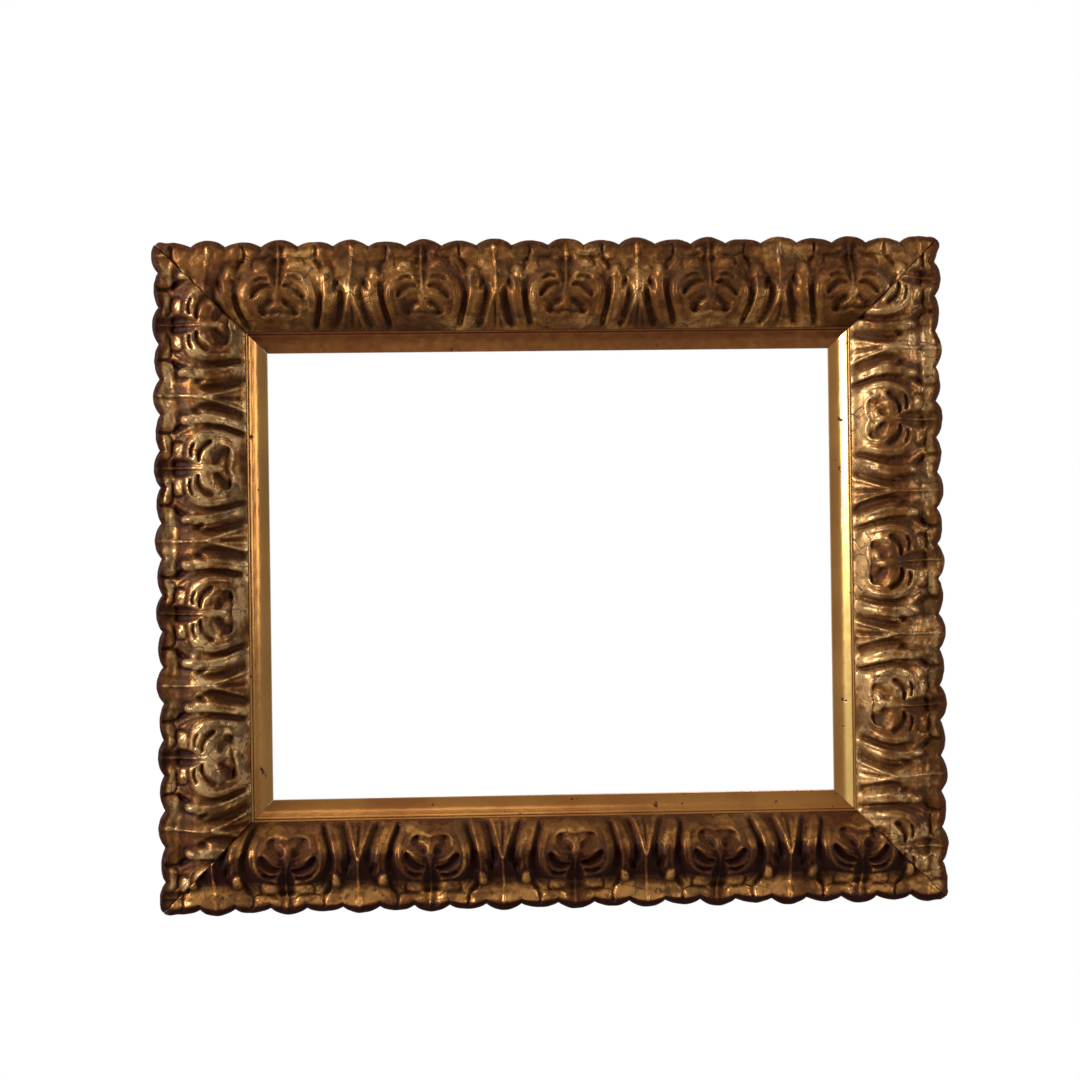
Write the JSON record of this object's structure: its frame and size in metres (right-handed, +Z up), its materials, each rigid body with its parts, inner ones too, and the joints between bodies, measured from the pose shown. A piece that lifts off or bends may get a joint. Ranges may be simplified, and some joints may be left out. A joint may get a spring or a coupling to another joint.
{
  "type": "picture frame",
  "caption": "Wide carved and gilded picture frame with running acanthus leaves, a scalloped rim and a smooth sight slip, empty, with turn buttons and hanging rings on its back.",
  "frame": {"origin": "middle of the rebate's mouth, in the plane of the frame's back, which is the wall", "axes": "+X to the right seen from the front, +Y into the wall, so the carved face looks along -Y, +Z up"},
  "size_m": [0.676, 0.062, 0.574],
  "materials": {
    "carved_gilding": "worn gold leaf over red bole and gesso, dark patina in the hollows",
    "slip_gilding": "burnished gold leaf, rubbed through to red bole at the edges",
    "softwood": "aged bare softwood",
    "peg_wood": "end grain, planed flush",
    "nail_iron": "dull, slightly rusted iron",
    "brass": "tarnished brass"
  },
  "bodies": {
    "frame": {"back_rail_top": "softwood", "carved_moulding_top": "carved_gilding", "sight_slip_top": "slip_gilding", "back_rail_right": "softwood", "carved_moulding_right": "carved_gilding", "sight_slip_right": "slip_gilding", "back_rail_bottom": "softwood", "carved_moulding_bottom": "carved_gilding", "sight_slip_bottom": "slip_gilding", "back_rail_left": "softwood", "carved_moulding_left": "carved_gilding", "sight_slip_left": "slip_gilding", "lap_pegs": "peg_wood", "moulding_nails": "nail_iron", "mitre_nails": "nail_iron", "turn_button_screws": "brass", "hanger_plate_left": "brass", "hanger_plate_right": "brass", "hanger_screws": "brass"},
    "turn_button_left_upper": {"turn_button_left_upper": "brass"},
    "turn_button_left_lower": {"turn_button_left_lower": "brass"},
    "turn_button_right_upper": {"turn_button_right_upper": "brass"},
    "turn_button_right_lower": {"turn_button_right_lower": "brass"},
    "hanger_ring_left": {"hanger_ring_left": "brass"},
    "hanger_ring_right": {"hanger_ring_right": "brass"}
  },
  "joints": [
    {"name": "turn_button_left_upper_turn", "type": "hinge", "parent": "frame", "child": "turn_button_left_upper", "pos_m": [-0.2615, 0.0011, 0.095], "axis": [0, 1, 0], "continuous": true},
    {"name": "turn_button_left_lower_turn", "type": "hinge", "parent": "frame", "child": "turn_button_left_lower", "pos_m": [-0.2615, 0.0011, -0.095], "axis": [0, 1, 0], "continuous": true},
    {"name": "turn_button_right_upper_turn", "type": "hinge", "parent": "frame", "child": "turn_button_right_upper", "pos_m": [0.2615, 0.0011, 0.095], "axis": [0, 1, 0], "continuous": true},
    {"name": "turn_button_right_lower_turn", "type": "hinge", "parent": "frame", "child": "turn_button_right_lower", "pos_m": [0.2615, 0.0011, -0.095], "axis": [0, 1, 0], "continuous": true},
    {"name": "hanger_ring_left_swing", "type": "hinge", "parent": "frame", "child": "hanger_ring_left", "pos_m": [-0.15, 0.0035, 0.251], "axis": [1, 0, 0], "range_deg": [0, 180]},
    {"name": "hanger_ring_right_swing", "type": "hinge", "parent": "frame", "child": "hanger_ring_right", "pos_m": [0.15, 0.0035, 0.251], "axis": [1, 0, 0], "range_deg": [0, 180]}
  ]
}
